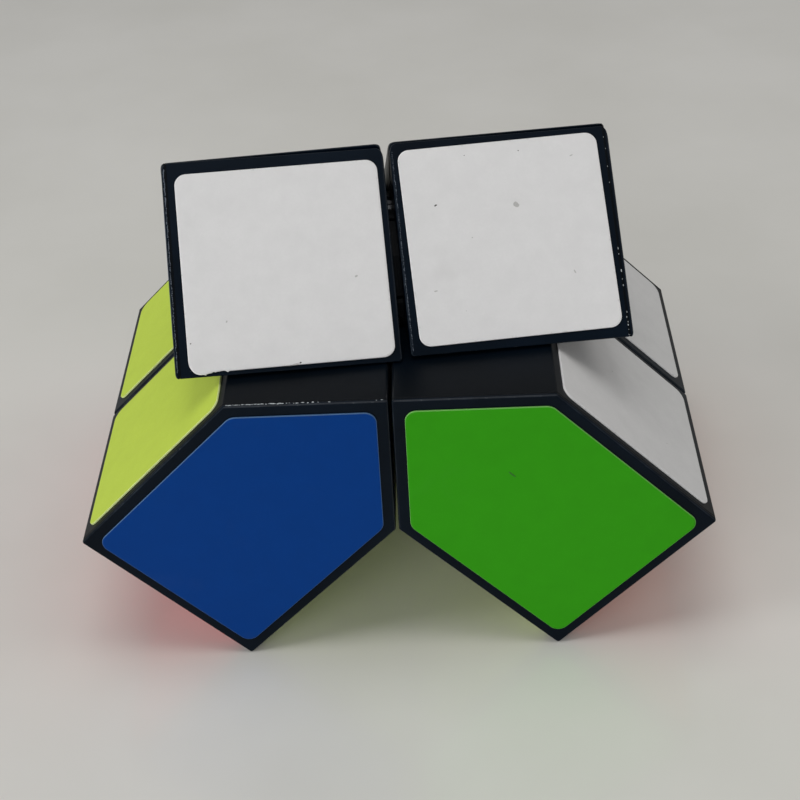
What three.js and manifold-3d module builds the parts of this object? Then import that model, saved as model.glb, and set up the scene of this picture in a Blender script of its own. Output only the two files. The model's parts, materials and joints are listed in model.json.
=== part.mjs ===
// A two-layer twisty puzzle whose section is an L of three squares, with its corner at the top.
// The cuts run through the middle of the corner square, along its two diagonals, so the upper
// layer is four triangular roof pieces and the lower layer is four five-sided arm pieces.
// The upper layer is shown turned a quarter turn, a few degrees past its click position.
// +Z is up, +X is right, +Y is away; the puzzle stands on the two ridges of its arms at z = 0.
import * as THREE from 'three';
import { mergeVertices } from 'three/addons/utils/BufferGeometryUtils.js';
import Module from 'manifold-3d';

const wasm = await Module();
wasm.setup();

// ---- Driving dimensions, mm ----
const LEG_WIDTH = 28.9;                  // side of the L's corner square, and width of its legs
const ARM_LENGTH = 29.7;                 // how far each leg runs beyond the corner square
const DEPTH = 29;                        // depth of one piece, half of the puzzle's
const ROOF_PROUD = 0.25;                 // how far the roof faces stand out past the arms' walls
const CUT_GAP = 0.4;                     // clearance between two neighbouring pieces
const WALL = 1.6;                        // wall thickness of the hollow pieces
const COVER_THICKNESS = 0.5;             // end plate glued over the open end of each piece
const PLUG_DEPTH = 1.8;                  // the plate's plug, which sits inside the piece's walls
const PLUG_PLAY = 0.2;                   // clearance round the plug
const GLUE_LINE = 0.15;                  // seam between an end plate and its piece
const STICKER_THICKNESS = 0.2;
const ADHESIVE = 0.05;                   // film between a sticker and the plastic
const STICKER_MARGIN = 1.55;             // bare plastic left around each sticker of the arms
const ROOF_STICKER_MARGIN = 1.3;
const STICKER_CORNER = 1.5;              // corner radius of the stickers
const UPPER_TURN_DEG = 6.7;              // how far the upper layer stands past its click position

// Hidden mechanism: pieces meet on planes at +-SLICE, and at +-FOOT_SLICE inside FOOT_RADIUS.
const SLICE = 3.8;
const FOOT_SLICE = 2.6;
const PLAY = 0.2;                        // each inner face stands back this far from its cut
const RECESS_RADIUS = 12.4;              // hollow ball inside the eight outer pieces
const CAP_RADIUS = 12;                   // outside of the hubs and inner edges
const CAP_UNDERSIDE = 9.1;
const FOOT_RADIUS = 8.7;
const FOOT_UNDERSIDE = 6;
const CORE_RADIUS = 4.8;
const CORE_ARM_RADIUS = 2.2;
const CORE_ARM_LENGTH = 5.6;
const HUB_START = 5.9;                   // inner end of each hub's stem
const HUB_FLOOR = 7;                     // floor of the pocket for the screw head and spring
const HUB_POCKET_RADIUS = 1.85;
const SCREW_RADIUS = 0.8;
const SCREW_BORE_RADIUS = 1.1;
const SCREW_HEAD_RADIUS = 1.55;
const SCREW_HEAD_HEIGHT = 1.2;
const SCREW_TIP = 1.8;                   // distance of each screw's tip from the core's centre
const SPRING_TOP = 10.2;
const SPRING_COIL_RADIUS = 1.32;
const SPRING_WIRE_RADIUS = 0.22;
const SPRING_TURNS = 4;
const SPRING_STEPS_PER_TURN = 10;
const SPRING_WIRE_SIDES = 5;
const KEY_WIDTH = 0.9;                   // blade on the core that stops three hubs from turning
const KEY_LENGTH = 4;
const KEY_TOP = 6.6;

const BALL_SEGMENTS = 24;
const ROUND_SEGMENTS = 12;
const FAR = 40;                          // beyond everything inside the puzzle

// ---- Worked out from the driving dimensions ----
const HALF_DIAGONAL = LEG_WIDTH / Math.SQRT2;  // from the core to where a cut meets an outer wall
const ROOF_REACH = HALF_DIAGONAL + Math.SQRT2 * ROOF_PROUD;  // from the core to a ridge or an eave
const ARM_RISE = ARM_LENGTH / Math.SQRT2;      // how far an arm goes down, and as far out
const HALF_GAP = CUT_GAP / 2;
const CORE_HEIGHT = HALF_DIAGONAL + ARM_RISE;  // the core's centre above the ridges it stands on
const COVER_INSIDE = DEPTH - COVER_THICKNESS;
const BODY_END = COVER_INSIDE - GLUE_LINE;
const POCKET_START = RECESS_RADIUS + WALL;

const X = new THREE.Vector3(1, 0, 0);
const Y = new THREE.Vector3(0, 1, 0);
const Z = new THREE.Vector3(0, 0, 1);
const DOWN = new THREE.Vector3(0, 0, -1);

// ---- Materials ----
const FINISHES = {
  black: { color: 0x10151a, roughness: 0.38, metalness: 0 },
  inner: { color: 0x2a2d31, roughness: 0.5, metalness: 0 },
  core: { color: 0xb9bcc0, roughness: 0.5, metalness: 0 },
  steel: { color: 0xa9adb2, roughness: 0.3, metalness: 1 },
  blue: { color: 0x0b4a9e, roughness: 0.45, metalness: 0 },
  green: { color: 0x35a51e, roughness: 0.45, metalness: 0 },
  yellow: { color: 0xc9e23c, roughness: 0.45, metalness: 0 },
  white: { color: 0xdedfe0, roughness: 0.45, metalness: 0 },
  red: { color: 0xc4202c, roughness: 0.45, metalness: 0 },
  orange: { color: 0xe2601c, roughness: 0.45, metalness: 0 },
};

function finished(name, geometry, finish) {
  const mesh = new THREE.Mesh(geometry, new THREE.MeshStandardMaterial(FINISHES[finish]));
  mesh.name = name;
  return mesh;
}

// ---- Joining and cutting ----
function solid(geometry) {
  const bare = geometry.index ? geometry.clone() : geometry;
  bare.deleteAttribute('normal');
  bare.deleteAttribute('uv');
  const merged = mergeVertices(bare);
  const vertProperties = Float32Array.from(merged.attributes.position.array);
  const triVerts = Uint32Array.from(merged.index.array);
  return new wasm.Manifold(new wasm.Mesh({ numProp: 3, vertProperties, triVerts }));
}

function geometryOf(body) {
  const { vertProperties, triVerts, numProp } = body.getMesh();
  const position = new Float32Array((vertProperties.length / numProp) * 3);
  for (let i = 0; i < position.length / 3; i += 1) {
    for (let axis = 0; axis < 3; axis += 1) {
      position[3 * i + axis] = vertProperties[numProp * i + axis];
    }
  }
  const geometry = new THREE.BufferGeometry();
  geometry.setAttribute('position', new THREE.BufferAttribute(position, 3));
  geometry.setIndex(new THREE.BufferAttribute(Uint32Array.from(triVerts), 1));
  geometry.computeVertexNormals();
  return geometry;
}

// ---- Basic solids ----
// A box between two corners given in any order.
function slab(low, high) {
  const size = high.map((value, axis) => Math.abs(value - low[axis]));
  const middle = high.map((value, axis) => (value + low[axis]) / 2);
  return solid(new THREE.BoxGeometry(...size).translate(...middle));
}

// A ball whose poles are on the vertical axis.
function ball(radius) {
  const sphere = new THREE.SphereGeometry(radius, BALL_SEGMENTS, BALL_SEGMENTS / 2);
  return solid(sphere.rotateX(Math.PI / 2));
}

function hollowBall(inside, outside) {
  return ball(outside).subtract(ball(inside));
}

// Turns a geometry that lies along +Z so that it lies along the given unit vector.
function alongDirection(geometry, direction) {
  const turn = new THREE.Quaternion().setFromUnitVectors(Z, direction);
  return geometry.applyQuaternion(turn);
}

// A shape turned about +Z from [radius, height] points, first and last on the axis.
function turned(points, direction) {
  const profile = points.map(([radius, height]) => new THREE.Vector2(radius, height));
  const lathe = new THREE.LatheGeometry(profile, ROUND_SEGMENTS).rotateX(Math.PI / 2);
  return solid(alongDirection(lathe, direction));
}

function rod(radius, from, to, direction) {
  return turned([[0, from], [radius, from], [radius, to], [0, to]], direction);
}

// An outline with its corners rounded.
function roundedShape(points, radius) {
  const shape = new THREE.Shape();
  points.forEach((corner, i) => {
    const before = points[(i + points.length - 1) % points.length];
    const after = points[(i + 1) % points.length];
    const start = corner.clone().add(before.clone().sub(corner).setLength(radius));
    const end = corner.clone().add(after.clone().sub(corner).setLength(radius));
    if (i === 0) {
      shape.moveTo(start.x, start.y);
    } else {
      shape.lineTo(start.x, start.y);
    }
    shape.quadraticCurveTo(corner.x, corner.y, end.x, end.y);
  });
  shape.closePath();
  return shape;
}

// A flat shape given thickness, between two heights above its own plane.
function extruded(shape, from, to) {
  const options = { depth: to - from, bevelEnabled: false, curveSegments: 3 };
  return new THREE.ExtrudeGeometry(shape, options).translate(0, 0, from);
}

// ---- Outlines of the pieces ----
// Both sections are given as [out, up]: the distances from the two cuts that cross at the core.
// inset moves the outer walls inwards, and near is the distance kept from the two cuts.
function armOutline(inset, near) {
  const reach = HALF_DIAGONAL - Math.SQRT2 * inset;
  return [
    [near, near],
    [reach + near, near],
    [ARM_RISE + reach, ARM_RISE],
    [ARM_RISE, ARM_RISE + reach],
    [near, reach + near],
  ];
}

function roofOutline(inset, near) {
  const reach = ROOF_REACH - Math.SQRT2 * inset - near;
  return [[near, near], [reach, near], [near, reach]];
}

// The part of an arm beyond the corner square, with its four walls moved inwards.
function armSquareOutline(inset) {
  const reach = HALF_DIAGONAL - Math.SQRT2 * inset;
  return [
    [HALF_DIAGONAL, HALF_DIAGONAL - reach],
    [ARM_RISE + reach, ARM_RISE],
    [ARM_RISE, ARM_RISE + reach],
    [HALF_DIAGONAL - reach, HALF_DIAGONAL],
  ];
}

// One of the eight places round the core: the way its prism lies, and the directions of its
// section, out along the horizontal cut and up (or down) along the vertical one.
function placeAlong(prismAxis, outAxis, upAxis) {
  return { prism: prismAxis.clone(), out: outAxis.clone(), up: upAxis.clone() };
}

// Maps (a, b, c) to a * first + b * second + c * third, which must be a right-handed set.
function frameOf(first, second, third) {
  return new THREE.Matrix4().makeBasis(first, second, third);
}

// A prism of the section's shape between two distances from the core, along the place's prism axis.
function prismGeometry(shape, from, to, place) {
  return extruded(shape, from, to).applyMatrix4(frameOf(place.out, place.up, place.prism));
}

// Mirrored places have left-handed axes: their outline is drawn mirrored instead.
function placed(outline, place) {
  const handed = place.out.clone().cross(place.up).dot(place.prism);
  const out = handed > 0 ? place.out : place.out.clone().negate();
  const points = outline.map(([a, b]) => new THREE.Vector2(handed > 0 ? a : -a, b));
  return { points, place: { ...place, out } };
}

function prism(outline, from, to, where) {
  const { points, place } = placed(outline, where);
  return solid(prismGeometry(new THREE.Shape(points), from, to, place));
}

// ---- Hidden mechanism ----
// The stem and the foot that hold an outer piece, in the octant of its three signs.
function holdingFoot(signs) {
  const stem = slab(signs.map((sign) => sign * (SLICE + PLAY)), signs.map((sign) => sign * FAR))
    .intersect(hollowBall(FOOT_RADIUS - 1, RECESS_RADIUS + 0.8));
  const foot = slab(signs.map((sign) => sign * (FOOT_SLICE + PLAY)), signs.map((sign) => sign * FAR))
    .intersect(hollowBall(FOOT_UNDERSIDE, FOOT_RADIUS));
  return stem.add(foot);
}

// An inner edge lies across one axis (sign 0) and fills the space between two hubs.
function innerEdge(signs) {
  const wedge = (halfWidth, near) => slab(
    signs.map((sign) => (sign === 0 ? -halfWidth : sign * near)),
    signs.map((sign) => (sign === 0 ? halfWidth : sign * FAR)),
  );
  const cap = wedge(SLICE - PLAY, SLICE + PLAY).intersect(hollowBall(CAP_UNDERSIDE, CAP_RADIUS));
  const neck = wedge(FOOT_SLICE - PLAY, SLICE + PLAY)
    .intersect(hollowBall(FOOT_RADIUS - 1, CAP_UNDERSIDE + 1));
  const foot = wedge(FOOT_SLICE - PLAY, FOOT_SLICE + PLAY)
    .intersect(hollowBall(FOOT_UNDERSIDE, FOOT_RADIUS));
  return cap.add(neck).add(foot);
}

// A square column along a direction, between two heights.
function column(direction, halfWidth, halfDepth, from, to) {
  const box = new THREE.BoxGeometry(2 * halfWidth, 2 * halfDepth, to - from).translate(0, 0, (from + to) / 2);
  return solid(alongDirection(box, direction));
}

function hub(direction, keyed) {
  const capWidth = SLICE - PLAY;
  const stemWidth = FOOT_SLICE - PLAY;
  const cap = column(direction, capWidth, capWidth, HUB_START, FAR)
    .intersect(hollowBall(CAP_UNDERSIDE, CAP_RADIUS));
  const stem = column(direction, stemWidth, stemWidth, HUB_START, CAP_UNDERSIDE + 1);
  const pocket = rod(HUB_POCKET_RADIUS, HUB_FLOOR, FAR, direction);
  const bore = rod(SCREW_BORE_RADIUS, 0, FAR, direction);
  const body = cap.add(stem).subtract(pocket).subtract(bore);
  if (!keyed) {
    return body;
  }
  const slot = column(direction, FAR, KEY_WIDTH / 2 + 0.3, 0, KEY_TOP + 0.3);
  return body.subtract(slot);
}

function screw(direction, sprung) {
  const underHead = sprung ? SPRING_TOP + 0.15 : HUB_FLOOR + 0.3;
  const top = underHead + SCREW_HEAD_HEIGHT;
  const body = turned([
    [0, SCREW_TIP],
    [SCREW_RADIUS * 0.5, SCREW_TIP],
    [SCREW_RADIUS, SCREW_TIP + 0.6],
    [SCREW_RADIUS, underHead],
    [SCREW_HEAD_RADIUS, underHead],
    [SCREW_HEAD_RADIUS, top - 0.3],
    [SCREW_HEAD_RADIUS - 0.3, top],
    [0, top],
  ], direction);
  const slot = column(direction, SCREW_HEAD_RADIUS - 0.45, 0.2, top - 0.6, top + 1);
  return body.subtract(slot);
}

function springGeometry(direction) {
  const points = [];
  const steps = SPRING_TURNS * SPRING_STEPS_PER_TURN;
  const low = HUB_FLOOR + 0.15 + SPRING_WIRE_RADIUS;
  const high = SPRING_TOP - SPRING_WIRE_RADIUS;
  for (let i = 0; i <= steps; i += 1) {
    const angle = (2 * Math.PI * i) / SPRING_STEPS_PER_TURN;
    const height = low + ((high - low) * i) / steps;
    points.push(new THREE.Vector3(
      SPRING_COIL_RADIUS * Math.cos(angle),
      SPRING_COIL_RADIUS * Math.sin(angle),
      height,
    ));
  }
  const wire = new THREE.Shape(Array.from({ length: SPRING_WIRE_SIDES }, (unused, i) => {
    const angle = (2 * Math.PI * i) / SPRING_WIRE_SIDES;
    return new THREE.Vector2(SPRING_WIRE_RADIUS, 0).rotateAround(new THREE.Vector2(), angle);
  }));
  const coil = new THREE.ExtrudeGeometry(wire, {
    steps,
    bevelEnabled: false,
    extrudePath: new THREE.CatmullRomCurve3(points),
  });
  return alongDirection(coil, direction);
}

function core(directions, keyedNames) {
  let body = ball(CORE_RADIUS);
  for (const [name, direction] of Object.entries(directions)) {
    body = body.add(rod(CORE_ARM_RADIUS, 0, CORE_ARM_LENGTH, direction));
    if (keyedNames.includes(name)) {
      body = body.add(column(direction, KEY_LENGTH / 2, KEY_WIDTH / 2, CORE_ARM_LENGTH - 1, KEY_TOP));
    }
  }
  for (const direction of Object.values(directions)) {
    body = body.subtract(rod(SCREW_BORE_RADIUS, SCREW_TIP - 0.3, FAR, direction));
  }
  return body;
}

// ---- Outer pieces ----
function signsOf(place) {
  const sum = place.prism.clone().add(place.out).add(place.up);
  return sum.toArray().map((value) => Math.sign(Math.round(value)));
}

function roofBody(place) {
  return prism(roofOutline(0, HALF_GAP), HALF_GAP, BODY_END, place)
    .subtract(ball(RECESS_RADIUS))
    .subtract(prism(roofOutline(WALL, HALF_GAP + WALL), POCKET_START, BODY_END + 1, place))
    .add(holdingFoot(signsOf(place)));
}

function armBody(place) {
  return prism(armOutline(0, HALF_GAP), HALF_GAP, BODY_END, place)
    .subtract(ball(RECESS_RADIUS))
    .subtract(prism(armOutline(WALL, HALF_GAP + WALL), POCKET_START, BODY_END + 1, place))
    .subtract(prism(armSquareOutline(WALL), HALF_GAP + WALL, BODY_END + 1, place))
    .add(holdingFoot(signsOf(place)));
}

// The end plate of a piece, with the plug that finds its place inside the walls.
function cover(outlineOf, place) {
  const inset = WALL + PLUG_PLAY;
  const plug = outlineOf(inset, HALF_GAP + inset);
  return prism(outlineOf(0, HALF_GAP), COVER_INSIDE, DEPTH, place)
    .add(prism(plug, COVER_INSIDE - PLUG_DEPTH, COVER_INSIDE + COVER_THICKNESS / 2, place));
}

// ---- Stickers ----
// A sticker on the end plate, of the section's own shape.
function endSticker(outline, where) {
  const { points, place } = placed(outline, where);
  const shape = roundedShape(points, STICKER_CORNER);
  const from = DEPTH + ADHESIVE;
  return prismGeometry(shape, from, from + STICKER_THICKNESS, place);
}

// A direction in the plane of the section, from its [out, up] parts.
function inSection(place, [out, up]) {
  return place.out.clone().multiplyScalar(out).addScaledVector(place.up, up);
}

// A sticker on the wall that begins at the section point start and goes in the direction run,
// facing outward. The bare wall lies between the two distances of span along that run.
// lay says how the sticker was put on: its shift across and up the wall, and its turn.
function wallSticker(place, { start, run, outward, span, margin }, lay = STRAIGHT) {
  const along = inSection(place, run).normalize();
  const normal = inSection(place, outward).normalize();
  const handed = Math.sign(place.prism.clone().cross(along).dot(normal));
  const halfWidth = (DEPTH - HALF_GAP) / 2 - margin;
  const halfLength = (span[1] - span[0]) / 2 - margin;
  const corners = [[-1, -1], [1, -1], [1, 1], [-1, 1]]
    .map(([across, up]) => new THREE.Vector2(across * halfWidth, up * halfLength));
  const sheet = extruded(roundedShape(corners, STICKER_CORNER), ADHESIVE, ADHESIVE + STICKER_THICKNESS);
  sheet.rotateZ(THREE.MathUtils.degToRad(lay.turnDeg));
  const middle = (DEPTH + HALF_GAP) / 2 + lay.across;
  sheet.translate(handed * middle, (span[0] + span[1]) / 2 + lay.up, 0);
  const width = place.prism.clone().multiplyScalar(handed);
  return sheet.applyMatrix4(frameOf(width, along, normal).setPosition(inSection(place, start)));
}

// ---- Assembly ----
const puzzle = new THREE.Group();
const stand = new THREE.Group();
stand.position.z = CORE_HEIGHT;
puzzle.add(stand);

const lowerLayer = new THREE.Group();
const upperLayer = new THREE.Group();
upperLayer.rotation.z = THREE.MathUtils.degToRad(UPPER_TURN_DEG);
stand.add(lowerLayer, upperLayer);

const DIRECTIONS = {
  top: Z,
  bottom: DOWN,
  left: X.clone().negate(),
  right: X,
  front: Y.clone().negate(),
  back: Y,
};
const KEYED_HUBS = ['bottom', 'left', 'back'];

lowerLayer.add(finished('core_spider', geometryOf(core(DIRECTIONS, KEYED_HUBS)), 'core'));
for (const [name, direction] of Object.entries(DIRECTIONS)) {
  const keyed = KEYED_HUBS.includes(name);
  const layer = name === 'top' ? upperLayer : lowerLayer;
  layer.add(finished(`${name}_hub`, geometryOf(hub(direction, keyed)), 'inner'));
  lowerLayer.add(finished(`${name}_hub_screw`, geometryOf(screw(direction, !keyed)), 'steel'));
  if (!keyed) {
    lowerLayer.add(finished(`${name}_hub_spring`, springGeometry(direction), 'steel'));
  }
}

const SIDES = { left: -1, right: 1 };
const DEPTHS = { front: -1, back: 1 };
const LEVELS = { top: 1, bottom: -1 };

for (const [level, up] of Object.entries(LEVELS)) {
  const layer = level === 'top' ? upperLayer : lowerLayer;
  for (const [side, x] of Object.entries(SIDES)) {
    layer.add(finished(`inner_edge_${level}_${side}`, geometryOf(innerEdge([x, 0, up])), 'inner'));
  }
  for (const [depth, y] of Object.entries(DEPTHS)) {
    layer.add(finished(`inner_edge_${level}_${depth}`, geometryOf(innerEdge([0, y, up])), 'inner'));
  }
}

const PENTAGON_COLOURS = { front_left: 'blue', front_right: 'green', back_left: 'green', back_right: 'blue' };
const SLOPE_COLOURS = { left: 'yellow', right: 'white' };
const END_COLOURS = { left: 'red', right: 'orange' };
const ROOF_COLOURS = { front: 'white', back: 'yellow' };

// How each roof piece sits in its play: the twist on its roof face, clockwise seen from outside,
// the slide up that face and the slide out from the middle cut.
const SEATING = {
  front_left: { twistDeg: 1.2, up: 0, out: 0.28 },
  front_right: { twistDeg: 0.6, up: 0, out: 0.32 },
  back_left: { twistDeg: -0.4, up: 0.05, out: 0.2 },
  back_right: { twistDeg: -0.5, up: 0, out: 0.3 },
};

// How each roof sticker was put on: its shift away from the middle cut, its shift up and its turn.
const STRAIGHT = { across: 0, up: 0, turnDeg: 0 };
const ROOF_STICKER_LAY = {
  front_left: { across: -0.4, up: -0.55, turnDeg: 0.4 },
  front_right: { across: -0.2, up: 0.1, turnDeg: 0.9 },
  back_left: { across: 0.1, up: 0.1, turnDeg: -0.3 },
  back_right: { across: -0.1, up: 0, turnDeg: 0.2 },
};

// The group that holds one roof piece, moved in its play. Its children are placed as if it weren't.
function seated(place, { twistDeg, up, out }) {
  const normal = inSection(place, [1, 1]).normalize();
  const middle = inSection(place, [ROOF_REACH / 2, ROOF_REACH / 2])
    .addScaledVector(place.prism, DEPTH / 2);
  const twist = new THREE.Quaternion().setFromAxisAngle(normal, -THREE.MathUtils.degToRad(twistDeg));
  const seat = new THREE.Group();
  seat.quaternion.copy(twist);
  seat.position.copy(middle).sub(middle.clone().applyQuaternion(twist));
  seat.position.addScaledVector(inSection(place, [-1, 1]).normalize(), up);
  seat.position.addScaledVector(place.prism, out);
  return seat;
}

// The stickered walls of the sections, as wallSticker takes them.
const SLOPE = {
  start: [HALF_DIAGONAL, 0],
  run: [1, 1],
  outward: [1, -1],
  span: [0, ARM_LENGTH],
  margin: STICKER_MARGIN,
};
const ARM_END = {
  start: [HALF_DIAGONAL + ARM_RISE, ARM_RISE],
  run: [-1, 1],
  outward: [1, 1],
  span: [0, LEG_WIDTH],
  margin: STICKER_MARGIN,
};
const ROOF = {
  start: [ROOF_REACH, 0],
  run: [-1, 1],
  outward: [1, 1],
  span: [Math.SQRT2 * HALF_GAP, Math.SQRT2 * (ROOF_REACH - HALF_GAP)],
  margin: ROOF_STICKER_MARGIN,
};

for (const [depth, y] of Object.entries(DEPTHS)) {
  for (const [side, x] of Object.entries(SIDES)) {
    const corner = `${depth}_${side}`;
    lowerLayer.add(finished(`inner_edge_middle_${corner}`, geometryOf(innerEdge([x, y, 0])), 'inner'));

    const outX = X.clone().multiplyScalar(x);
    const outY = Y.clone().multiplyScalar(y);

    const arm = placeAlong(outY, outX, DOWN);
    lowerLayer.add(finished(`arm_body_${corner}`, geometryOf(armBody(arm)), 'black'));
    lowerLayer.add(finished(`arm_cover_${corner}`, geometryOf(cover(armOutline, arm)), 'black'));
    const pentagon = endSticker(armOutline(STICKER_MARGIN, HALF_GAP + STICKER_MARGIN), arm);
    lowerLayer.add(finished(`sticker_pentagon_${corner}`, pentagon, PENTAGON_COLOURS[corner]));
    lowerLayer.add(finished(`sticker_slope_${corner}`, wallSticker(arm, SLOPE), SLOPE_COLOURS[side]));
    lowerLayer.add(finished(`sticker_end_${corner}`, wallSticker(arm, ARM_END), END_COLOURS[side]));

    const roof = placeAlong(outX, outY, Z);
    const seat = seated(roof, SEATING[corner]);
    upperLayer.add(seat);
    seat.add(finished(`roof_body_${corner}`, geometryOf(roofBody(roof)), 'black'));
    seat.add(finished(`roof_cover_${corner}`, geometryOf(cover(roofOutline, roof)), 'black'));
    const roofSticker = wallSticker(roof, ROOF, ROOF_STICKER_LAY[corner]);
    seat.add(finished(`sticker_roof_${corner}`, roofSticker, ROOF_COLOURS[depth]));
  }
}

export default puzzle;
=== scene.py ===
import json
import math
import random

import bmesh
import bpy
from mathutils import Matrix, Vector


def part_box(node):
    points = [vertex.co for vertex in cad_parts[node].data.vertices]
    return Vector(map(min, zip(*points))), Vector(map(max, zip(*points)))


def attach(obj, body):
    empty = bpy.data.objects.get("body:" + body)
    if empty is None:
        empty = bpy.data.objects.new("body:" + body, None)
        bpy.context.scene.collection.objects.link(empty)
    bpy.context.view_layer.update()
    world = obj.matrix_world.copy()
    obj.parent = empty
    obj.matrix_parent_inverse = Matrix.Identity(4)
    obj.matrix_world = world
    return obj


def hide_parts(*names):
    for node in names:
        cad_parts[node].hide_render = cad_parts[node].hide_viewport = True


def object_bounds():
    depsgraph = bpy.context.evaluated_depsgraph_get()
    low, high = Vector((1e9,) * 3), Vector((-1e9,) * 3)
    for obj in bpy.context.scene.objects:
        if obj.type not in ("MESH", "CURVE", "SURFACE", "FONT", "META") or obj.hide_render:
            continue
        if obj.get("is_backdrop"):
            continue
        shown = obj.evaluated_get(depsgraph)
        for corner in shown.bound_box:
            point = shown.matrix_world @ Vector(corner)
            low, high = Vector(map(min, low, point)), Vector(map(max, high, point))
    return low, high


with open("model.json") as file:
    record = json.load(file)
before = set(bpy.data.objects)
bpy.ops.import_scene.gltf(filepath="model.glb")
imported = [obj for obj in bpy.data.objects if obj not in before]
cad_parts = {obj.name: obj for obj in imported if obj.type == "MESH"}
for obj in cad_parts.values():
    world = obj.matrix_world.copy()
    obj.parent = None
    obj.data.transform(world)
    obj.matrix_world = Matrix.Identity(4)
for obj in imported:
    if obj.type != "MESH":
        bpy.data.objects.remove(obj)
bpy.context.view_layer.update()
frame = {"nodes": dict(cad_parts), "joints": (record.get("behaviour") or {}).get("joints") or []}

# ---- Driving values, metres and degrees ----
MM = 0.001
UP = Vector((0, 0, 1))
CORE = Vector(frame["joints"][0]["pos_m"])       # centre of the core, on the turning axis
ARM_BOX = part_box("arm_cover_front_left")
DEPTH = -ARM_BOX[0].y                            # from the middle cut to an end plate's outer face
HALF_GAP = -ARM_BOX[1].x                         # half the gap between neighbouring pieces

CAMERA_AIM = Vector((0.6, -9.45, 27.8)) * MM
CAMERA_DISTANCE = 232.4 * MM
CAMERA_LENS = 76.3
CAMERA_TURN = -2.03                              # degrees off the puzzle's front, seen from above
CAMERA_HEIGHT = 34.71                            # degrees above the floor
CAMERA_ROLL = -3.26

EDGE_RADIUS = 0.4 * MM                           # rounding of the moulded edges along a prism
END_RADIUS = 0.33 * MM                           # rounding round its two ends, below EDGE_RADIUS
TIP_RADIUS = 0.14 * MM                           # rounding along the ridge and eave of a roof piece
RIDGE_CORNER = 1.0 * MM                          # rounding of a ridge's two ends, seen square on
EAVE_CORNER = 0.45 * MM                          # rounding of an eave's two ends, seen square on
SEAM_RADIUS = 0.07 * MM                          # rounding of both lips of a cover's seam
GLUE_DEPTH = 0.04 * MM                           # how far the glue in a seam lies below the walls
GLUE_REACH = 0.02 * MM                           # how far it reaches into the body and the cover
SHELL_CLEARANCE = 0.004 * MM                     # a body's outer shape inside its CAD node's walls

STICKER_RISE = 0.25 * MM                         # top of a sticker above its wall
STICKER_FOOT = 0.02 * MM                         # underside of a sticker above its wall
STICKER_EDGE = 0.06 * MM                         # rounding of a sticker's cut edge
SQUARE_CORNER = 1.5 * MM                         # corner radii of a sticker, by the corner's angle
BLUNT_CORNER = 1.9 * MM
ACUTE_CORNER = 1.1 * MM
SHORTEST_SIDE = 4 * MM                           # a sticker's sides are longer, its chords shorter
HAND_LAID_MARGIN = 1.5 * MM                      # margin of the notch and gable stickers
HAND_LAID_RISE = 0.1 * MM                        # top of those thinner stickers above their wall

ARC_STEPS = 6                                    # steps of a rounded corner
STICKER_ARC_STEPS = 8
ROUND_STEPS = 6                                  # steps of the rounding at a prism's end
CLOSEST_RINGS = 2e-6                             # rings nearer to each other than this become one


# ---- Camera, floor and light ----
def make_camera():
    camera = bpy.data.objects.new("camera", bpy.data.cameras.new("camera"))
    bpy.context.scene.collection.objects.link(camera)
    bpy.context.scene.camera = camera
    camera.data.lens = CAMERA_LENS
    camera.data.sensor_width = 36
    camera.data.clip_start = 0.01
    turn = Matrix.Rotation(math.radians(-CAMERA_TURN), 4, "Z")
    tilt = Matrix.Rotation(math.radians(90 - CAMERA_HEIGHT), 4, "X")
    roll = Matrix.Rotation(math.radians(CAMERA_ROLL), 4, "Z")
    facing = turn @ tilt @ roll
    back = facing.to_3x3() @ UP
    camera.matrix_world = Matrix.Translation(CAMERA_AIM + back * CAMERA_DISTANCE) @ facing


def area_light(name, position, size, watts, colour):
    """A light that shines on the core. Its position and size are in metres."""
    light = bpy.data.objects.new(name, bpy.data.lights.new(name, "AREA"))
    bpy.context.scene.collection.objects.link(light)
    light.data.shape = "RECTANGLE"
    light.data.size, light.data.size_y = size
    light.data.energy = watts
    light.data.color = colour
    light.location = position
    light.rotation_euler = (CORE - Vector(position)).to_track_quat("-Z", "Y").to_euler()
    light.visible_camera = False
    return light


def make_light():
    """Soft lights in front, overhead and on the right, and a low narrow one on the left."""
    area_light("overhead_light", (-0.05, -0.02, 0.75), (0.5, 0.4), 1.5, (1, 0.99, 0.98))
    area_light("front_light", (-0.25, -0.9, 0.45), (0.9, 0.5), 2.85, (0.98, 0.98, 1))
    area_light("right_light", (0.55, -0.1, 0.75), (0.4, 0.6), 1.0, (1, 0.97, 0.94))
    fill = area_light("left_light", (-0.8, -0.2, 0.22), (0.25, 0.5), 0.42, (0.98, 0.98, 1))
    fill.data.spread = math.radians(60)
    fill.visible_glossy = False
    world = bpy.data.worlds.new("room")
    bpy.context.scene.world = world
    world.use_nodes = True
    background = world.node_tree.nodes["Background"]
    background.inputs["Color"].default_value = (0.9, 0.9, 0.92, 1)
    background.inputs["Strength"].default_value = 0.26


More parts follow.
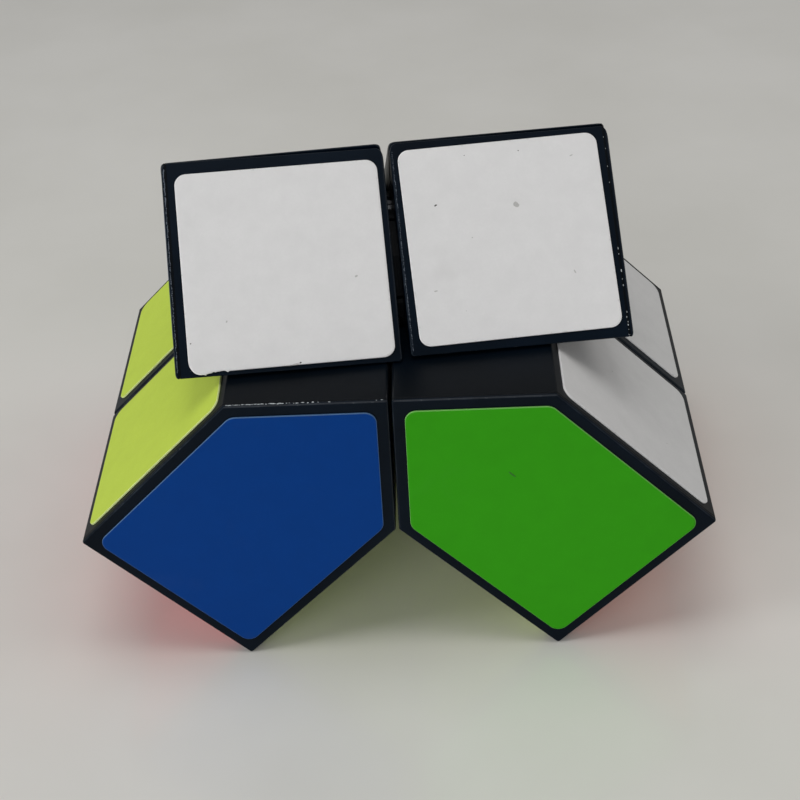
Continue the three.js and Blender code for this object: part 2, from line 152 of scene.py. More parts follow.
def make_floor(height):
    half = 3.0
    corners = [(x * half, y * half, height) for x, y in ((-1, -1), (1, -1), (1, 1), (-1, 1))]
    mesh = bpy.data.meshes.new("floor")
    mesh.from_pydata(corners, [], [(0, 1, 2, 3)])
    mesh.materials.append(floor_material())
    floor = bpy.data.objects.new("floor", mesh)
    bpy.context.scene.collection.objects.link(floor)
    floor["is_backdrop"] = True


# ---- Materials ----
class Nodes:
    """Builds a material's node tree, one call per node."""

    def __init__(self, name):
        self.material = bpy.data.materials.new(name)
        self.material.use_nodes = True
        self.tree = self.material.node_tree
        self.shader = self.tree.nodes["Principled BSDF"]

    def add(self, kind, settings=None, **inputs):
        node = self.tree.nodes.new(kind)
        for key, value in (settings or {}).items():
            setattr(node, key, value)
        for key, value in inputs.items():
            self.put(node, key.replace("_", " "), value)
        return node

    def put(self, node, socket, value):
        if isinstance(value, bpy.types.NodeSocket):
            self.tree.links.new(value, node.inputs[socket])
        else:
            node.inputs[socket].default_value = value

    def attribute(self, name):
        return self.add("ShaderNodeAttribute", {"attribute_name": name}).outputs["Fac"]

    def place(self):
        return self.add("ShaderNodeTexCoord").outputs["Object"]

    def noise(self, place, per_mm, detail=3.0, roughness=0.5, distortion=0.0):
        node = self.add("ShaderNodeTexNoise", Vector=place, Scale=per_mm / MM, Detail=detail,
                        Roughness=roughness, Distortion=distortion)
        return node.outputs["Fac"]

    def cells(self, place, per_mm):
        return self.add("ShaderNodeTexVoronoi", Vector=place, Scale=per_mm / MM).outputs["Distance"]

    def ramp(self, value, low, high, to_low=0.0, to_high=1.0):
        node = self.add("ShaderNodeMapRange", {"clamp": True}, Value=value, From_Min=low,
                        From_Max=high, To_Min=to_low, To_Max=to_high)
        return node.outputs["Result"]

    def math(self, operation, first, second=0.0):
        node = self.add("ShaderNodeMath", {"operation": operation})
        self.put(node, 0, first)
        self.put(node, 1, second)
        return node.outputs["Value"]

    def times(self, first, *others):
        for other in others:
            first = self.math("MULTIPLY", first, other)
        return first

    def mix(self, factor, first, second):
        node = self.add("ShaderNodeMix", {"data_type": "RGBA"})
        self.put(node, 0, factor)
        self.put(node, 6, first)
        self.put(node, 7, second)
        return node.outputs[2]

    def bump(self, height, depth_mm, strength=1.0, below=None):
        node = self.add("ShaderNodeBump", Height=height, Distance=depth_mm * MM, Strength=strength)
        if below is not None:
            self.put(node, "Normal", below)
        return node.outputs["Normal"]

    def finish(self, **inputs):
        for key, value in inputs.items():
            self.put(self.shader, key.replace("_", " "), value)
        return self.material


def rgb(hex_colour, factor=1.0):
    """A linear colour from an sRGB hex string."""
    channels = [int(hex_colour[i:i + 2], 16) / 255 for i in (0, 2, 4)]
    linear = [c / 12.92 if c <= 0.04045 else ((c + 0.055) / 1.055) ** 2.4 for c in channels]
    return (*[factor * c for c in linear], 1)


def floor_material():
    """Pale laminate, faintly cloudy and slightly glossy."""
    n = Nodes("pale_table")
    place = n.place()
    grain = n.noise(place, 1.5, 2)
    return n.finish(
        Base_Color=n.mix(n.ramp(n.noise(place, 0.02, 4), 0.35, 0.65), rgb("dddcd5"), rgb("e4e3dd")),
        Roughness=n.ramp(grain, 0.3, 0.7, 0.17, 0.22),
        Specular_IOR_Level=0.7,
        Normal=n.bump(grain, 0.006, 0.12),
    )


def black_plastic():
    """Satin black moulding: fine grain, faint flow clouds, and slightly paler edges, partly worn by
    handling and partly a painted highlight.
    """
    n = Nodes("black_plastic")
    place = n.place()
    edge = n.attribute("edge")
    seam = n.attribute("seam")
    grain = n.noise(place, 6, 3, 0.6)
    edge_wear_and_sheen = n.times(edge, n.ramp(n.noise(place, 0.35, 4, 0.7), 0.4, 0.62))
    nicked = n.times(edge, n.ramp(n.noise(place, 1.7, 4, 0.8), 0.6, 0.68))
    dust = n.times(n.ramp(n.cells(place, 0.5), 0.025, 0.015),
                   n.ramp(n.noise(place, 0.3, 2), 0.58, 0.64))
    colour = n.mix(n.ramp(n.noise(place, 0.12, 3), 0.3, 0.7), rgb("020b15"), rgb("06121e"))
    # Paler edges: partly wear from handling, partly a painted highlight where the rounded edges catch
    # the light.
    colour = n.mix(n.times(edge_wear_and_sheen, 0.25), colour, rgb("3c454d"))
    colour = n.mix(n.times(nicked, 0.35), colour, rgb("6c7378"))
    colour = n.mix(n.times(dust, 0.2), colour, rgb("5a6064"))
    colour = n.mix(n.times(seam, 0.8), colour, rgb("04070a"))
    return n.finish(
        Base_Color=colour,
        Roughness=n.ramp(grain, 0.3, 0.7, 0.3, 0.38),
        Specular_IOR_Level=n.ramp(edge, 0.3, 0.9, 0.08, 0.3),
        Normal=n.bump(grain, 0.006, 0.25),
    )


def sticker_vinyl(name, hex_colour, edge_hex, speck):
    """Cast vinyl with faint mottling and orange peel, a pale cut edge and a few specks of dirt."""
    n = Nodes(name)
    place = n.place()
    edge = n.attribute("edge")
    grain = n.noise(place, 3.2, 3, 0.6)
    peel = n.noise(place, 1.6, 2, 0.4)
    mottling = n.ramp(n.noise(place, 0.35, 4, 0.6), 0.3, 0.7)
    base = n.mix(mottling, rgb(hex_colour, 0.97), rgb(hex_colour, 1.03))
    base = n.mix(n.ramp(grain, 0.3, 0.75, 0, 0.4), base, rgb(hex_colour, 0.95))
    smudge = n.ramp(n.noise(place, 0.11, 3, 0.6), 0.62, 0.78, 0, 0.1 * speck)
    base = n.mix(smudge, base, rgb("77756f"))
    base = n.mix(n.ramp(edge, 0.45, 0.9, 0, 0.75), base, rgb(edge_hex))
    grime = n.times(n.ramp(edge, 0.02, 0.4), n.ramp(n.noise(place, 1.2, 4, 0.7), 0.55, 0.78))
    base = n.mix(n.times(grime, 0.3), base, rgb("4a4a48"))
    dots = n.times(n.ramp(n.cells(place, 0.3), 0.022, 0.012),
                   n.ramp(n.noise(place, 0.2, 1), 0.56, 0.6), speck)
    base = n.mix(dots, base, rgb("8a8984"))
    return n.finish(
        Base_Color=base,
        Roughness=n.ramp(grain, 0.3, 0.7, 0.42, 0.52),
        Specular_IOR_Level=0.08,
        Normal=n.bump(grain, 0.004, 0.25, below=n.bump(peel, 0.012, 0.2)),
    )


def moulded_inner(name, hex_dark, hex_light, roughness, specular):
    """Unpainted plastic of the mechanism, with flow marks and a dull film of grease."""
    n = Nodes(name)
    place = n.place()
    grain = n.noise(place, 5)
    film = n.ramp(n.noise(place, 0.5), 0.5, 0.62, 0, -0.12)
    return n.finish(
        Base_Color=n.mix(n.noise(place, 0.3, 4, 0.6, 1.5), rgb(hex_dark), rgb(hex_light)),
        Roughness=n.math("ADD", n.ramp(grain, 0.3, 0.7, roughness, roughness + 0.12), film),
        Specular_IOR_Level=specular,
        Normal=n.bump(grain, 0.02, 0.3),
    )


def turned_steel():
    """Bright plated steel with fine turning marks and a few dull spots."""
    n = Nodes("turned_steel")
    place = n.place()
    marks = n.noise(place, 12, 2)
    dull = n.ramp(n.noise(place, 0.8, 4), 0.5, 0.65)
    return n.finish(
        Base_Color=n.mix(dull, rgb("c3c6ca"), rgb("8d9096")),
        Metallic=1.0,
        Roughness=n.math("ADD", n.ramp(marks, 0.3, 0.7, 0.18, 0.3), n.times(dull, 0.15)),
        Normal=n.bump(marks, 0.01, 0.4),
    )


def residue(name, hex_dark, hex_light, roughness):
    """Dried glue, dirt, wear, and pale edge marks that are partly a painted highlight, blotchy and
    uneven.
    """
    n = Nodes(name)
    place = n.place()
    lumps = n.noise(place, 7, 4, 0.7)
    return n.finish(
        Base_Color=n.mix(n.ramp(lumps, 0.35, 0.65), rgb(hex_dark), rgb(hex_light)),
        Roughness=n.ramp(lumps, 0.3, 0.7, roughness, roughness + 0.2),
        Normal=n.bump(lumps, 0.02, 0.6),
    )


# Colour, colour of the cut edge, and how strongly specks show.
VINYLS = {
    "blue": ("003c88", "5f7fa0", 0.2),
    "green": ("36a212", "86c06c", 0.3),
    "yellow": ("bcd24d", "e3eeb0", 0.2),
    "white": ("dddddc", "f4f4f4", 0.7),
    "red": ("d4182a", "dd7a80", 0.2),
    "orange": ("d9591a", "e59a72", 0.2),
}

BLACK = black_plastic()
VINYL = {name: sticker_vinyl(f"vinyl_{name}", *values) for name, values in VINYLS.items()}
INNER = moulded_inner("inner_moulding", "05080c", "0c1116", 0.42, 0.12)
CORE_PLASTIC = moulded_inner("pale_moulding", "a9acb1", "c2c4c7", 0.4, 0.5)
STEEL = turned_steel()
GLUE = residue("dried_glue", "7f878b", "ccd2d4", 0.3)
DIRT = residue("dirt", "2c2b29", "595753", 0.6)
FAINT = residue("faint_dirt", "a6a6a3", "bdbdba", 0.5)
# Pale edge marks on two roof pieces: mostly a painted highlight along lit edges, partly real wear.
PAINTED_HIGHLIGHT_AND_WEAR = residue("worn_edge", "39414b", "6b747f", 0.3)
SCUFF = residue("scuff", "25700f", "1c600c", 0.4)


# ---- Places ----
class Place:
    """Where one outer piece lies: its section's out and up directions and its prism's direction.

    Local coordinates are (out, up, prism). The section's inner corner is at (HALF_GAP, HALF_GAP), and
    the prism ends at DEPTH, its end plate's outer face. On an arm, up points down at the floor.
    """

    def __init__(self, corners, normal):
        nearest = min(range(len(corners)), key=lambda i: (corners[i] - CORE).length)
        inner = corners[nearest]
        neighbours = (corners[nearest - 1], corners[(nearest + 1) % len(corners)])
        sides = [(corner - inner).normalized() for corner in neighbours]
        self.out, self.up = sorted(sides, key=lambda side: abs(side.z))
        self.prism = normal
        centre = inner - (self.out + self.up) * HALF_GAP - normal * DEPTH
        turn = Matrix((self.out, self.up, self.prism)).transposed().to_4x4()
        self.matrix = Matrix.Translation(centre) @ turn
        self.inverse = self.matrix.inverted()
        self.outline = [self.local(corner).to_2d() for corner in corners]
        if area_of(self.outline) < 0:
            self.outline.reverse()

    def local(self, point):
        return self.inverse @ point

    def far_corner(self):
        """The outline corner that lies furthest up."""
        return max(self.outline, key=lambda corner: corner.y)

    def near_corner(self):
        """The corner at the top of the section's inner wall."""
        return max(self.outline, key=lambda corner: corner.y - 10 * corner.x)


def area_of(points):
    return 0.5 * sum(p.x * q.y - q.x * p.y for p, q in zip(points, points[1:] + points[:1]))


def flat_copy(node):
    """A bmesh of a CAD node with its coplanar triangles joined into whole faces."""
    mesh = bmesh.new()
    mesh.from_mesh(frame["nodes"][node].data)
    bmesh.ops.remove_doubles(mesh, verts=mesh.verts, dist=0.002 * MM)
    flat = math.radians(0.5)
    bmesh.ops.dissolve_limit(mesh, angle_limit=flat, verts=mesh.verts, edges=mesh.edges)
    mesh.normal_update()
    return mesh


def outer_face(node):
    """The corners and normal of a node's largest flat face that looks away from the core."""
    mesh = flat_copy(node)
    faces = [f for f in mesh.faces if f.normal.dot(f.calc_center_median() - CORE) > 0]
    face = max(faces, key=lambda f: f.calc_area())
    corners = [vert.co.copy() for vert in face.verts]
    normal = face.normal.copy()
    mesh.free()
    return corners, normal


# ---- Outlines ----
def corner_frames(points):
    """Each corner of a counter-clockwise outline with the outward normals of its two sides."""
    frames = []
    for i, corner in enumerate(points):
        before = (corner - points[i - 1]).normalized()
        after = (points[(i + 1) % len(points)] - corner).normalized()
        frames.append((corner, Vector((before.y, -before.x)), Vector((after.y, -after.x))))
    return frames


def moved_in(corner, first, second, amount):
    """A corner after both its sides have moved in by an amount."""
    return corner - (first + second) * amount / (1 + first.dot(second))


def inset_corners(points, amount):
    return [moved_in(*corner_frame, amount) for corner_frame in corner_frames(points)]


def rounded(points, radii, inset=0.0, steps=ARC_STEPS):
    """A counter-clockwise outline with its corners rounded, all of it moved in by inset."""
    result = []
    for (corner, first, second), radius in zip(corner_frames(points), radii):
        radius = max(radius, inset)
        centre = moved_in(corner, first, second, radius)
        turn = first.angle_signed(second)
        for step in range(steps + 1):
            spin = Matrix.Rotation(-turn * step / steps, 2)
            result.append(centre + (radius - inset) * (spin @ first))
    return result


def corner_angles(points):
    return [180 - math.degrees(first.angle(second)) for _, first, second in corner_frames(points)]


def come_in(radius, distance):
    """How far a rounded edge has come in, at a distance from its end."""
    if distance >= radius:
        return 0.0
    return radius - math.sqrt(radius ** 2 - (radius - distance) ** 2)


def loft(rings):
    """Vertices and faces of a closed solid through equal rings, the first and last ones capped."""
    count = len(rings[0])
    verts = [point for ring in rings for point in ring]
    faces = [tuple(reversed(range(count))), tuple(range(len(verts) - count, len(verts)))]
    for level in range(len(rings) - 1):
        for i in range(count):
            j = (i + 1) % count
            a, b = level * count, (level + 1) * count
            faces.append((a + i, a + j, b + j, b + i))
    return verts, faces


def round_levels(radius):
    """Distances from an end that divide its rounding evenly."""
    turns = [math.pi / 2 * step / ROUND_STEPS for step in range(ROUND_STEPS + 1)]
    return [radius * (1 - math.cos(turn)) for turn in turns]


class Prism:
    """The outer shape of one whole piece, its cover included, with every edge rounded."""

    def __init__(self, outline, low, high):
        self.outline, self.low, self.high = outline, low, high
        self.angles = corner_angles(outline)
        self.ridge = max(range(len(outline)), key=lambda i: outline[i].y)
        self.is_roof = len(outline) == 3

    def radii(self, distance):
        """The radius of each corner, at a distance from the nearer end."""
        radii = []
        for i, angle in enumerate(self.angles):
            if angle > 60:
                radii.append(EDGE_RADIUS)
                continue
            end_corner = RIDGE_CORNER if i == self.ridge else EAVE_CORNER
            # A unit radius shortens the slope by this much.
            shortening = 1 / math.tan(math.radians(angle / 2)) - 1
            radii.append(TIP_RADIUS + come_in(end_corner, distance) / shortening)
        return radii

    def rings(self, start, stop):
        """Rings between two heights. An end that isn't the prism's own is a seam."""
        levels = {start, stop}
        for reach in (END_RADIUS, RIDGE_CORNER if self.is_roof else END_RADIUS):
            for level in round_levels(reach):
                levels |= {self.low + level, self.high - level}
        for level in round_levels(SEAM_RADIUS)[::2]:
            levels |= {start + level, stop - level}
        levels = sorted(round(level, 8) for level in levels if start <= level <= stop)
        kept = levels[:1]
        kept += [b for a, b in zip(levels, levels[1:]) if b - a > CLOSEST_RINGS]
        return [self.ring(level, start, stop) for level in kept]

    def ring(self, level, start, stop):
        distance = max(0.0, min(level - self.low, self.high - level))
        inset = come_in(END_RADIUS, distance)
        if start > self.low + END_RADIUS:
            inset += come_in(SEAM_RADIUS, max(0.0, level - start))
        if stop < self.high - END_RADIUS:
            inset += come_in(SEAM_RADIUS, max(0.0, stop - level))
        shape = rounded(self.outline, self.radii(distance), inset)
        return [Vector((point.x, point.y, level)) for point in shape]


# ---- Pieces ----
def new_piece(name, verts, faces, matrix, material, slot_name, body):
    mesh = bpy.data.meshes.new(name)
    mesh.from_pydata([matrix @ v for v in verts], [], faces)
    if matrix.determinant() < 0:
        mesh.flip_normals()
    piece = bpy.data.objects.new(name, mesh)
    bpy.context.scene.collection.objects.link(piece)
    mesh.materials.append(material)
    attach(piece, body)
    return piece


def apply_modifiers(piece):
    graph = bpy.context.evaluated_depsgraph_get()
    done = bpy.data.meshes.new_from_object(piece.evaluated_get(graph), depsgraph=graph)
    piece.modifiers.clear()
    old = piece.data
    piece.data = done
    bpy.data.meshes.remove(old)
    done.name = piece.name


def smooth(piece, angle=32):
    mesh = piece.data
    mesh.polygons.foreach_set("use_smooth", [True] * len(mesh.polygons))
    mesh.set_sharp_from_angle(angle=math.radians(angle))
    weights = piece.modifiers.new("weights", "WEIGHTED_NORMAL")
    weights.keep_sharp = True
    weights.weight = 100
    apply_modifiers(piece)


def shrink(piece, amount):
    """Moves every vertex in along its normal, so that no face lies in a CAD face's plane."""
    mesh = piece.data
    moved = [v.co - v.normal * amount for v in mesh.vertices]
    for vert, co in zip(mesh.vertices, moved):
        vert.co = co
    mesh.update()


def keep_inside(piece, node):
    """Keeps the part of a piece that is inside a CAD node, which gives it the node's hollows."""
    other = bpy.data.objects.new("cutter", frame["nodes"][node].data.copy())
    bpy.context.scene.collection.objects.link(other)
    mesh = flat_copy(node)
    mesh.to_mesh(other.data)
    mesh.free()
    cut = piece.modifiers.new("cut", "BOOLEAN")
    cut.operation = "INTERSECT"
    cut.solver = "EXACT"
    cut.object = other
    apply_modifiers(piece)
    bpy.data.objects.remove(other)
    piece.data.materials.clear()
    piece.data.materials.append(BLACK)


def paint(piece, name, value_of):
    """Stores a number on every vertex, for the materials to read."""
    layer = piece.data.attributes.new(name, "FLOAT", "POINT")
    layer.data.foreach_set("value", [value_of(v.co) for v in piece.data.vertices])


def edge_mask(place, prism):
    """1 in the middle of a rounded edge, 0 on the flat walls and inside."""
    wall, fade, deepest = 0.01 * MM, 0.15 * EDGE_RADIUS, 0.6 * EDGE_RADIUS
    frames = corner_frames(place.outline)

    def mask(point):
        local = place.local(point)
        flat = local.to_2d()
        depths = [local.z - prism.low, prism.high - local.z]
        depths += [(corner - flat).dot(second) for corner, _, second in frames]
        depth = min(depths)
        if depth > deepest:
            return 0.0
        return min(1.0, max(0.0, (depth - wall) / fade))

    return mask


def seam_mask(place, height):
    """1 on the lips of a seam at a height along the prism, 0 elsewhere."""
    return lambda point: 1.0 if abs(place.local(point).z - height) < 1.2 * SEAM_RADIUS else 0.0


def heights_of(node, place):
    """The heights of a CAD node's vertices along a place's prism."""
    return [place.local(v.co).z for v in frame["nodes"][node].data.vertices]


def make_shell(kind, corner, body):
    """The body and the cover of one outer piece."""
    body_node, cover_node = f"{kind}_body_{corner}", f"{kind}_cover_{corner}"
    place = Place(*outer_face(cover_node))
    body_heights = heights_of(body_node, place)
    low, seam_low = min(body_heights), max(body_heights)
    cover_heights = sorted({round(height, 6) for height in heights_of(cover_node, place)})
    seam_high = cover_heights[-2]
    prism = Prism(place.outline, low, DEPTH)
    for node, start, stop, seam in (
        (body_node, low, seam_low, seam_low),
        (cover_node, seam_high, DEPTH, seam_high),
    ):
        verts, faces = loft(prism.rings(start, stop))
        shell = new_piece(f"shell_{node}", verts, faces, place.matrix, BLACK, "black_plastic", body)
        if node == body_node:
            shrink(shell, SHELL_CLEARANCE)
            keep_inside(shell, node)
        paint(shell, "edge", edge_mask(place, prism))
        paint(shell, "seam", seam_mask(place, seam))
        smooth(shell)
        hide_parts(node)
    make_glue_line(f"glue_line_{kind}_{corner}", place, prism, seam_low, seam_high, body)
    return place, prism


def make_glue_line(name, place, prism, low, high, body):
    """The glue between a body and its cover, a little below their walls."""
    shape = rounded(place.outline, prism.radii(RIDGE_CORNER), GLUE_DEPTH)
    levels = (low - GLUE_REACH, high + GLUE_REACH)
    rings = [[Vector((p.x, p.y, level)) for p in shape] for level in levels]
    piece = new_piece(name, *loft(rings), place.matrix, BLACK, "black_plastic", body)
    paint(piece, "seam", lambda point: 1.0)
    smooth(piece)


# ---- Stickers ----
def sharp_corners(corners):
    """The sharp corners of an outline whose long sides are joined by short chords."""
    count = len(corners)
    sides = [(corners[i], corners[(i + 1) % count]) for i in range(count)]
    straight = [(a, b) for a, b in sides if (b - a).length > SHORTEST_SIDE]
    result = []
    for i, (a, b) in enumerate(straight):
        c, d = straight[i - 1]
        first, second = b - a, d - c
        t = (c - a).cross(second) / first.cross(second)
        result.append(a + first * t)
    return result


class Sheet:
    """A sticker's own plane: its matrix, whose z is outward, and its sharp corners in the plane."""

    def __init__(self, corners, normal):
        middle = sum(corners, Vector()) / len(corners)
        across = UP.cross(normal).normalized()
        matrix = Matrix((across, normal.cross(across), normal)).transposed().to_4x4()
        self.matrix = Matrix.Translation(middle) @ matrix
        flat = [(self.matrix.inverted() @ corner).to_2d() for corner in corners]
        if area_of(flat) < 0:
            flat.reverse()
        self.corners = sharp_corners(flat)


def sticker_radii(corners):
    radii = []
    for angle in corner_angles(corners):
        radii.append(BLUNT_CORNER if angle > 110 else ACUTE_CORNER if angle < 60 else SQUARE_CORNER)
    return radii


def with_side_points(ring, corner_count, parts=90):
    """A rounded outline with each of its straight sides divided into equal parts."""
    per_corner = len(ring) // corner_count
    result = []
    for corner in range(corner_count):
        arc = ring[corner * per_corner:(corner + 1) * per_corner]
        following = ring[(corner + 1) * per_corner % len(ring)]
        result += arc
        result += [arc[-1].lerp(following, part / parts) for part in range(1, parts)]
    return result


def make_sticker(name, sheet, colour, body, rise=STICKER_RISE, ragged=None):
    """A sticker whose top face lies in its sheet's plane. A ragged one's outline points are moved."""
    radii = sticker_radii(sheet.corners)
    profile = (                                  # inset, height, and how much of the cut edge shows
        (0, STICKER_FOOT - rise, 1.0),
        (0, -STICKER_EDGE, 1.0),
        (0.3 * STICKER_EDGE, -0.3 * STICKER_EDGE, 1.0),
        (STICKER_EDGE, 0, 0.55),
        (6 * STICKER_EDGE, 0, 0.0),
    )
    rings, edge_values = [], []
    for inset, height, edge_value in profile:
        ring = rounded(sheet.corners, radii, inset, STICKER_ARC_STEPS)
        if ragged:
            ring = [ragged(point) for point in with_side_points(ring, len(sheet.corners))]
        rings.append([Vector((p.x, p.y, height)) for p in ring])
        edge_values += [edge_value] * len(ring)
    verts, faces = loft(rings)
    piece = new_piece(name, verts, faces, sheet.matrix, VINYL[colour], f"sticker_{colour}", body)
    layer = piece.data.attributes.new("edge", "FLOAT", "POINT")
    layer.data.foreach_set("value", edge_values)
    smooth(piece, 50)
    return piece


def notch_sheet(place, prism):
    """The sheet of a sticker on an arm's wall that faces the neighbouring arm."""
    near, far = place.near_corner(), place.far_corner()
    along = (far - near).normalized()
    outward = Vector((-along.y, along.x)) * HAND_LAID_RISE
    first = near + along * HAND_LAID_MARGIN + outward
    last = far - along * HAND_LAID_MARGIN + outward
    bottom, top = prism.low + HAND_LAID_MARGIN, prism.high - HAND_LAID_MARGIN
    flat = [(first, bottom), (last, bottom), (last, top), (first, top)]
    corners = [place.matrix @ Vector((p.x, p.y, height)) for p, height in flat]
    return Sheet(corners, (place.out * outward.x + place.up * outward.y).normalized())


def gable_sheet(place, prism):
    """The sheet of a sticker on a roof piece's three-sided end plate."""
    flat = inset_corners(place.outline, HAND_LAID_MARGIN)
    corners = [place.matrix @ Vector((p.x, p.y, prism.high + HAND_LAID_RISE)) for p in flat]
    return Sheet(corners, place.prism)


def torn_corner(sheet):
    """Pulls a sticker's lower left corner down a little, up to a ragged tear in its lower edge."""
    left = min(p.x for p in sheet.corners)
    bottom = min(p.y for p in sheet.corners)
    pull = 0.3 * MM                              # of the corner itself
    pulled_width, pulled_height = 2.4 * MM, 1.2 * MM
    fade = 0.5 * MM                              # length in which the pull ends, along the edge
    tear_start, tear_end = 1.6 * MM, 5 * MM      # along the edge from the corner
    torn_height, tooth_width = 0.5 * MM, 0.32 * MM
    draws = random.Random(4)
    teeth = [draws.uniform(-0.12, 0.16) * MM for _ in range(16)]

    def moved(point):
        reach, height = point.x - left, point.y - bottom
        if height > pulled_height or reach > tear_end:
            return point
        drop = pull * min(1.0, max(0.0, (pulled_width - reach) / fade))
        drop *= 1 - height / pulled_height
        if reach > tear_start and height < torn_height:
            drop += teeth[int(reach / tooth_width) % len(teeth)]
        return point - Vector((0, drop))

    return moved


# ---- Traces of use, and painted highlights ----
def bead(middle, along, across, length, width, height, draws):
    """A small uneven drop lying on a surface, as vertices and faces."""
    normal = along.cross(across)
    sides, levels = 9, 3
    sunk = 0.03 * MM                             # its foot lies below the surface
    verts, faces = [], []
    for level in range(levels):
        lift = math.sin(math.pi / 2 * level / levels)
        spread = math.cos(math.pi / 2 * level / levels)
        for side in range(sides):
            angle = 2 * math.pi * side / sides
            wobble = spread * draws.uniform(0.8, 1.15)
            offset = along * (length / 2 * wobble * math.cos(angle))
            offset += across * (width / 2 * wobble * math.sin(angle))
            verts.append(middle + offset + normal * (height * lift))
    verts.append(middle + normal * height)
    foot = [v - normal * sunk for v in verts[:sides]]
    verts = foot + verts
    faces.append(tuple(reversed(range(sides))))
    for level in range(levels):
        for side in range(sides):
            other = (side + 1) % sides
            a, b = level * sides, (level + 1) * sides
            faces.append((a + side, a + other, b + other, b + side))
    top = len(verts) - 1
    last = levels * sides
    faces += [(last + side, last + (side + 1) % sides, top) for side in range(sides)]
    return verts, faces


def make_beads(name, rows, material, body):
    """One piece of many beads.

    A row gives a bead's middle, the directions of its length and width, its length, its width and
    its height.
    """
    draws = random.Random(name)
    verts, faces = [], []
    for row in rows:
        new_verts, new_faces = bead(*row, draws)
        faces += [tuple(index + len(verts) for index in face) for face in new_faces]
        verts += new_verts
    piece = new_piece(name, verts, faces, Matrix.Identity(4), material, "black_plastic", body)
    smooth(piece, 80)


def edge_beads(name, place, first, last, normal, height, stretches, material, body):
    """A row of dried drops, worn spots, or spots of painted highlight, on one side of a section, at a
    height along its prism.

    A stretch gives its start and end as parts of the side, and its drops' spacing and size in
    millimetres.
    """
    draws = random.Random(name)
    side = (last - first).normalized()
    along = place.out * side.x + place.up * side.y
    outward = place.out * normal.x + place.up * normal.y
    across = outward.cross(along)
    length = (last - first).length
    rows = []
    for start, end, spacing, size in stretches:
        reach = start * length
        while reach < end * length:
            flat = first + side * reach
            level = height + draws.uniform(-0.05, 0.05) * MM
            middle = place.matrix @ Vector((flat.x, flat.y, level)) - outward * 0.01 * MM
            drop = size * draws.uniform(0.6, 1.3) * MM
            drop_length = 1.6 * drop * draws.uniform(0.7, 1.4)
            drop_width = drop * draws.uniform(0.5, 0.9)
            rows.append((middle, along, across, drop_length, drop_width, 0.3 * drop))
            reach += spacing * draws.uniform(0.6, 1.5) * MM
    make_beads(name, rows, material, body)


def slope_beads(name, roof, height, stretches, material):
    """A row of drops, worn spots, or spots of painted highlight, down a roof piece's slope."""
    ridge, eave = roof.far_corner(), max(roof.outline, key=lambda p: p.x)
    normal = Vector((1, 1)).normalized()
    edge_beads(name, roof, ridge, eave, normal, height, stretches, material, "upper_layer")


def sheet_specks(name, sheet, specks, material, body):
    """Specks of dirt on a sticker.

    Each has its place as parts of the sticker's width and height from the upper left, its length
    and width in millimetres, and its direction in degrees.
    """
    thickness = 0.012 * MM
    left, right = min(p.x for p in sheet.corners), max(p.x for p in sheet.corners)
    bottom, top = min(p.y for p in sheet.corners), max(p.y for p in sheet.corners)
    turn = sheet.matrix.to_3x3()
    rows = []
    for across_part, down_part, length, width, angle in specks:
        flat = Vector((left + (right - left) * across_part, top - (top - bottom) * down_part, 0))
        direction = math.radians(angle)
        along = turn @ Vector((math.cos(direction), math.sin(direction), 0))
        across = turn @ Vector((-math.sin(direction), math.cos(direction), 0))
        rows.append((sheet.matrix @ flat, along, across, length * MM, width * MM, thickness))
    make_beads(name, rows, material, body)


# ---- Build ----
bpy.context.scene.view_settings.view_transform = "Standard"
make_camera()
make_light()

PENTAGON_COLOURS = {
    "front_left": "blue", "front_right": "green", "back_left": "green", "back_right": "blue",
}
SLOPE_COLOURS = {"left": "yellow", "right": "white"}
END_COLOURS = {"left": "red", "right": "orange"}
ROOF_COLOURS = {"front": "white", "back": "yellow"}
GABLE_COLOURS = {"left": "blue", "right": "green"}

# Marks on each sticker, by material: part across, part down, length, width, direction.
MARKS = {
    "sticker_roof_front_left": (
        (DIRT, (
            (0.02, 0.84, 0.2, 0.15, 0), (0.53, 0.985, 0.24, 0.22, 0), (0.48, 0.996, 0.6, 0.12, 4),
        )),
        (FAINT, (
            (0.84, 0.59, 0.42, 0.3, 20), (0.2, 0.75, 0.35, 0.2, 60), (0.51, 0.99, 1.1, 0.22, 4),
        )),
    ),
    "sticker_roof_front_right": (
        (DIRT, (
            (0.16, 0.3, 0.42, 0.22, 25), (0.6, 0.06, 0.16, 0.16, 0), (0.33, 0.06, 0.14, 0.12, 0),
        )),
        (FAINT, (
            (0.555, 0.335, 0.95, 0.7, 120), (0.11, 0.73, 0.5, 0.2, 10), (0.8, 0.7, 0.6, 0.2, 115),
            (0.32, 0.48, 0.2, 0.16, 0), (0.86, 0.11, 0.5, 0.16, 20),
        )),
    ),
    "sticker_pentagon_front_right": (
        (SCUFF, ((0.352, 0.273, 1.3, 0.26, -45),)),
    ),
    "sticker_slope_front_right": (
        (FAINT, ((0.6, 0.4, 0.25, 0.18, 10), (0.3, 0.75, 0.22, 0.15, 70))),
    ),
}

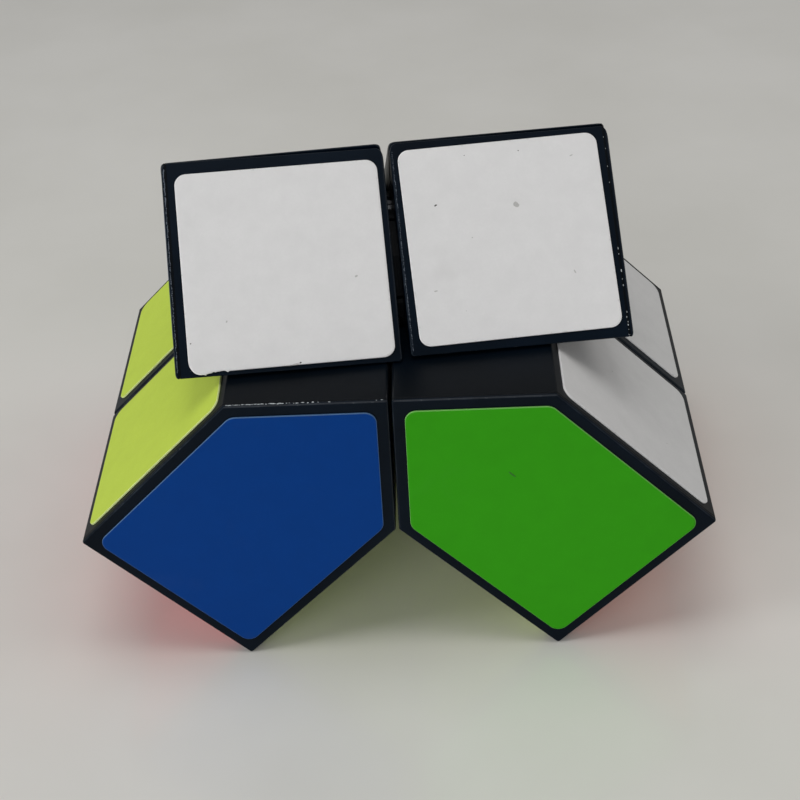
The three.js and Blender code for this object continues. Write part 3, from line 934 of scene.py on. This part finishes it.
ARMS, ROOFS = {}, {}                             # each corner's place and prism
for depth, side in (("front", "left"), ("front", "right"), ("back", "left"), ("back", "right")):
    corner = f"{depth}_{side}"
    ARMS[corner] = make_shell("arm", corner, "lower_layer")
    ROOFS[corner] = make_shell("roof", corner, "upper_layer")
    for node, colour, body in (
        (f"sticker_pentagon_{corner}", PENTAGON_COLOURS[corner], "lower_layer"),
        (f"sticker_slope_{corner}", SLOPE_COLOURS[side], "lower_layer"),
        (f"sticker_end_{corner}", END_COLOURS[side], "lower_layer"),
        (f"sticker_roof_{corner}", ROOF_COLOURS[depth], "upper_layer"),
    ):
        sheet = Sheet(*outer_face(node))
        torn = torn_corner(sheet) if node == "sticker_roof_front_left" else None
        sticker = make_sticker(f"vinyl_{node}", sheet, colour, body, ragged=torn)
        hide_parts(node)
        for material, marks in MARKS.get(node, ()):
            sheet_specks(f"{material.name}_{node}", sheet, marks, material, body)
    for name, sheet, colour, body in (
        (f"vinyl_notch_{corner}", notch_sheet(*ARMS[corner]), "yellow", "lower_layer"),
        (f"vinyl_gable_{corner}", gable_sheet(*ROOFS[corner]), GABLE_COLOURS[side], "upper_layer"),
    ):
        make_sticker(name, sheet, colour, body, HAND_LAID_RISE)

# The glue on the front left arm follows the top side of its section, which is the lowest locally.
arm = ARMS["front_left"][0]
outer_corner = max((p for p in arm.outline if p.y < 1 * MM), key=lambda p: p.x)
inner_corner = Vector((HALF_GAP, HALF_GAP))
top = Vector((0, -1))
edge_beads("glue_arm_front_left", arm, outer_corner, inner_corner, top, DEPTH - 0.36 * MM, (
    (0.02, 0.36, 0.26, 0.2), (0.36, 0.44, 0.45, 0.18), (0.45, 0.6, 0.6, 0.2), (0.645, 0.65, 1, 0.24),
    (0.93, 0.98, 0.8, 0.18),
), GLUE, "lower_layer")

roof, roof_prism = ROOFS["front_right"]
slope_beads("glue_roof_front_right", roof, DEPTH - 0.62 * MM, (
    (0.06, 0.3, 1.7, 0.1), (0.585, 0.62, 0.7, 0.24), (0.69, 0.77, 0.9, 0.2), (0.88, 0.99, 0.55, 0.15),
), GLUE)
# Pale spots along the right roof piece's cut-side edge: a painted highlight, with some real wear
# towards its lower end.
slope_beads("worn_roof_front_right", roof, roof_prism.low + 0.3 * MM, (
    (0.05, 0.97, 0.22, 0.13), (0.66, 0.97, 0.6, 0.16),
), PAINTED_HIGHLIGHT_AND_WEAR)
# Pale spots near the left roof piece's left end: a painted highlight along the rounded edge.
slope_beads("worn_roof_front_left", ROOFS["front_left"][0], DEPTH - 0.34 * MM, (
    (0.04, 0.97, 0.2, 0.15), (0.05, 0.2, 0.3, 0.18),
), PAINTED_HIGHLIGHT_AND_WEAR)

for name, node in frame["nodes"].items():
    if name == "core_spider":
        better = CORE_PLASTIC
    elif name.endswith(("screw", "spring")):
        better = STEEL
    elif name.startswith("inner_edge") or name.endswith("hub"):
        better = INNER
    else:
        continue
    node.data.materials.clear()
    node.data.materials.append(better)

make_floor(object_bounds()[0].z)
